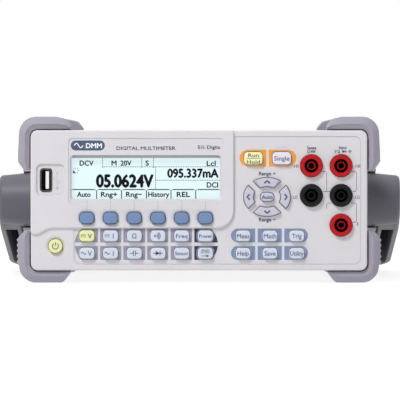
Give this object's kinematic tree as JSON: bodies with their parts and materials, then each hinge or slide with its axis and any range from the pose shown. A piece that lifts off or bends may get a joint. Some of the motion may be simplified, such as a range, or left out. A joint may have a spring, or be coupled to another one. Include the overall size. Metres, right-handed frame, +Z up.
{
  "type": "bench multimeter",
  "caption": "Half-rack bench multimeter with a graphic display, keypad, front input jacks, rubber corner bumpers and a swinging U-shaped carry handle.",
  "frame": {"origin": "centre of the bounding box's footprint, at the height of the bench", "axes": "+Z up, the front panel faces -Y, +X to the right seen from the front"},
  "size_m": [0.269, 0.3264, 0.1068],
  "materials": {
    "bezel_plastic": "fine texture",
    "case_paint": "satin",
    "pivot_plastic": "fine texture",
    "bumper_rubber": "matte",
    "handle_plastic": "fine texture",
    "blue_key": "matte",
    "pale_key": "matte",
    "lit_key": "matte",
    "nav_key": "matte",
    "red_plastic": "gloss",
    "black_plastic": "satin",
    "bright_steel": "bright",
    "chassis_steel": "zinc plated",
    "circuit_board": "solder mask",
    "silicone": "matte",
    "clear_plastic": "clear",
    "transformer_iron": "varnished"
  },
  "bodies": {
    "instrument": {"front_bezel": "bezel_plastic", "case_sleeve": "case_paint", "pivot_base_left": "pivot_plastic", "pivot_base_right": "pivot_plastic", "bumper_front_left": "bumper_rubber", "bumper_front_right": "bumper_rubber", "bumper_rear_left": "bumper_rubber", "bumper_rear_right": "bumper_rubber", "jack_sense_high": "red_plastic", "jack_input_high": "red_plastic", "jack_current": "red_plastic", "jack_sense_low": "black_plastic", "jack_input_low": "black_plastic", "power_inlet": "black_plastic", "fuse_holder": "black_plastic", "usb_socket": "bright_steel", "display_module": "bright_steel", "trigger_connector": "bright_steel", "compare_connector": "bright_steel", "chassis": "chassis_steel", "front_board": "circuit_board", "main_board": "circuit_board", "keypad_membrane": "silicone", "display_window": "clear_plastic", "transformer": "transformer_iron"},
    "handle": {"carry_handle": "handle_plastic"},
    "rocker": {"power_rocker": "black_plastic"},
    "fuse_cap": {"fuse_cap": "black_plastic"},
    "softkey_1": {"softkey_1": "blue_key"},
    "softkey_2": {"softkey_2": "blue_key"},
    "softkey_3": {"softkey_3": "blue_key"},
    "softkey_4": {"softkey_4": "blue_key"},
    "softkey_5": {"softkey_5": "blue_key"},
    "softkey_6": {"softkey_6": "blue_key"},
    "key_dc_current": {"key_dc_current": "pale_key"},
    "key_resistance": {"key_resistance": "pale_key"},
    "key_continuity": {"key_continuity": "pale_key"},
    "key_frequency": {"key_frequency": "pale_key"},
    "key_preset": {"key_preset": "pale_key"},
    "key_ac_volts": {"key_ac_volts": "pale_key"},
    "key_ac_current": {"key_ac_current": "pale_key"},
    "key_capacitance": {"key_capacitance": "pale_key"},
    "key_diode": {"key_diode": "pale_key"},
    "key_sensor": {"key_sensor": "pale_key"},
    "key_second": {"key_second": "pale_key"},
    "key_measure": {"key_measure": "pale_key"},
    "key_math": {"key_math": "pale_key"},
    "key_trigger": {"key_trigger": "pale_key"},
    "key_help": {"key_help": "pale_key"},
    "key_save": {"key_save": "pale_key"},
    "key_utility": {"key_utility": "pale_key"},
    "key_single": {"key_single": "pale_key"},
    "key_dc_volts": {"key_dc_volts": "lit_key"},
    "key_run_hold": {"key_run_hold": "lit_key"},
    "key_power": {"key_power": "lit_key"},
    "nav_up": {"nav_up": "nav_key"},
    "nav_down": {"nav_down": "nav_key"},
    "nav_left": {"nav_left": "nav_key"},
    "nav_right": {"nav_right": "nav_key"},
    "key_auto": {"key_auto": "nav_key"}
  },
  "joints": [
    {"name": "handle_swing", "type": "hinge", "parent": "instrument", "child": "handle", "pos_m": [0, -0.02099, 0.052], "axis": [1, 0, 0], "range_deg": [0, 220]},
    {"name": "power_rocker_tip", "type": "hinge", "parent": "instrument", "child": "rocker", "pos_m": [-0.076, 0.12011, 0.0585], "axis": [1, 0, 0], "range_deg": [0, 20]},
    {"name": "fuse_cap_turn", "type": "hinge", "parent": "instrument", "child": "fuse_cap", "pos_m": [0.078, 0.11901, 0.066], "axis": [0, 1, 0], "range_deg": [0, 90]},
    {"name": "softkey_1_press", "type": "slide", "parent": "instrument", "child": "softkey_1", "axis": [0, 1, 0], "range_m": [0, 0.0012], "stiffness_N_per_m": 500, "springref_m": -0.001},
    {"name": "softkey_2_press", "type": "slide", "parent": "instrument", "child": "softkey_2", "axis": [0, 1, 0], "range_m": [0, 0.0012], "stiffness_N_per_m": 500, "springref_m": -0.001},
    {"name": "softkey_3_press", "type": "slide", "parent": "instrument", "child": "softkey_3", "axis": [0, 1, 0], "range_m": [0, 0.0012], "stiffness_N_per_m": 500, "springref_m": -0.001},
    {"name": "softkey_4_press", "type": "slide", "parent": "instrument", "child": "softkey_4", "axis": [0, 1, 0], "range_m": [0, 0.0012], "stiffness_N_per_m": 500, "springref_m": -0.001},
    {"name": "softkey_5_press", "type": "slide", "parent": "instrument", "child": "softkey_5", "axis": [0, 1, 0], "range_m": [0, 0.0012], "stiffness_N_per_m": 500, "springref_m": -0.001},
    {"name": "softkey_6_press", "type": "slide", "parent": "instrument", "child": "softkey_6", "axis": [0, 1, 0], "range_m": [0, 0.0012], "stiffness_N_per_m": 500, "springref_m": -0.001},
    {"name": "key_dc_current_press", "type": "slide", "parent": "instrument", "child": "key_dc_current", "axis": [0, 1, 0], "range_m": [0, 0.0012], "stiffness_N_per_m": 500, "springref_m": -0.001},
    {"name": "key_resistance_press", "type": "slide", "parent": "instrument", "child": "key_resistance", "axis": [0, 1, 0], "range_m": [0, 0.0012], "stiffness_N_per_m": 500, "springref_m": -0.001},
    {"name": "key_continuity_press", "type": "slide", "parent": "instrument", "child": "key_continuity", "axis": [0, 1, 0], "range_m": [0, 0.0012], "stiffness_N_per_m": 500, "springref_m": -0.001},
    {"name": "key_frequency_press", "type": "slide", "parent": "instrument", "child": "key_frequency", "axis": [0, 1, 0], "range_m": [0, 0.0012], "stiffness_N_per_m": 500, "springref_m": -0.001},
    {"name": "key_preset_press", "type": "slide", "parent": "instrument", "child": "key_preset", "axis": [0, 1, 0], "range_m": [0, 0.0012], "stiffness_N_per_m": 500, "springref_m": -0.001},
    {"name": "key_ac_volts_press", "type": "slide", "parent": "instrument", "child": "key_ac_volts", "axis": [0, 1, 0], "range_m": [0, 0.0012], "stiffness_N_per_m": 500, "springref_m": -0.001},
    {"name": "key_ac_current_press", "type": "slide", "parent": "instrument", "child": "key_ac_current", "axis": [0, 1, 0], "range_m": [0, 0.0012], "stiffness_N_per_m": 500, "springref_m": -0.001},
    {"name": "key_capacitance_press", "type": "slide", "parent": "instrument", "child": "key_capacitance", "axis": [0, 1, 0], "range_m": [0, 0.0012], "stiffness_N_per_m": 500, "springref_m": -0.001},
    {"name": "key_diode_press", "type": "slide", "parent": "instrument", "child": "key_diode", "axis": [0, 1, 0], "range_m": [0, 0.0012], "stiffness_N_per_m": 500, "springref_m": -0.001},
    {"name": "key_sensor_press", "type": "slide", "parent": "instrument", "child": "key_sensor", "axis": [0, 1, 0], "range_m": [0, 0.0012], "stiffness_N_per_m": 500, "springref_m": -0.001},
    {"name": "key_second_press", "type": "slide", "parent": "instrument", "child": "key_second", "axis": [0, 1, 0], "range_m": [0, 0.0012], "stiffness_N_per_m": 500, "springref_m": -0.001},
    {"name": "key_measure_press", "type": "slide", "parent": "instrument", "child": "key_measure", "axis": [0, 1, 0], "range_m": [0, 0.0012], "stiffness_N_per_m": 500, "springref_m": -0.001},
    {"name": "key_math_press", "type": "slide", "parent": "instrument", "child": "key_math", "axis": [0, 1, 0], "range_m": [0, 0.0012], "stiffness_N_per_m": 500, "springref_m": -0.001},
    {"name": "key_trigger_press", "type": "slide", "parent": "instrument", "child": "key_trigger", "axis": [0, 1, 0], "range_m": [0, 0.0012], "stiffness_N_per_m": 500, "springref_m": -0.001},
    {"name": "key_help_press", "type": "slide", "parent": "instrument", "child": "key_help", "axis": [0, 1, 0], "range_m": [0, 0.0012], "stiffness_N_per_m": 500, "springref_m": -0.001},
    {"name": "key_save_press", "type": "slide", "parent": "instrument", "child": "key_save", "axis": [0, 1, 0], "range_m": [0, 0.0012], "stiffness_N_per_m": 500, "springref_m": -0.001},
    {"name": "key_utility_press", "type": "slide", "parent": "instrument", "child": "key_utility", "axis": [0, 1, 0], "range_m": [0, 0.0012], "stiffness_N_per_m": 500, "springref_m": -0.001},
    {"name": "key_single_press", "type": "slide", "parent": "instrument", "child": "key_single", "axis": [0, 1, 0], "range_m": [0, 0.0012], "stiffness_N_per_m": 500, "springref_m": -0.001},
    {"name": "key_dc_volts_press", "type": "slide", "parent": "instrument", "child": "key_dc_volts", "axis": [0, 1, 0], "range_m": [0, 0.0012], "stiffness_N_per_m": 500, "springref_m": -0.001},
    {"name": "key_run_hold_press", "type": "slide", "parent": "instrument", "child": "key_run_hold", "axis": [0, 1, 0], "range_m": [0, 0.0012], "stiffness_N_per_m": 500, "springref_m": -0.001},
    {"name": "key_power_press", "type": "slide", "parent": "instrument", "child": "key_power", "axis": [0, 1, 0], "range_m": [0, 0.0012], "stiffness_N_per_m": 500, "springref_m": -0.001},
    {"name": "nav_up_press", "type": "slide", "parent": "instrument", "child": "nav_up", "axis": [0, 1, 0], "range_m": [0, 0.0012], "stiffness_N_per_m": 500, "springref_m": -0.001},
    {"name": "nav_down_press", "type": "slide", "parent": "instrument", "child": "nav_down", "axis": [0, 1, 0], "range_m": [0, 0.0012], "stiffness_N_per_m": 500, "springref_m": -0.001},
    {"name": "nav_left_press", "type": "slide", "parent": "instrument", "child": "nav_left", "axis": [0, 1, 0], "range_m": [0, 0.0012], "stiffness_N_per_m": 500, "springref_m": -0.001},
    {"name": "nav_right_press", "type": "slide", "parent": "instrument", "child": "nav_right", "axis": [0, 1, 0], "range_m": [0, 0.0012], "stiffness_N_per_m": 500, "springref_m": -0.001},
    {"name": "key_auto_press", "type": "slide", "parent": "instrument", "child": "key_auto", "axis": [0, 1, 0], "range_m": [0, 0.0012], "stiffness_N_per_m": 500, "springref_m": -0.001}
  ]
}
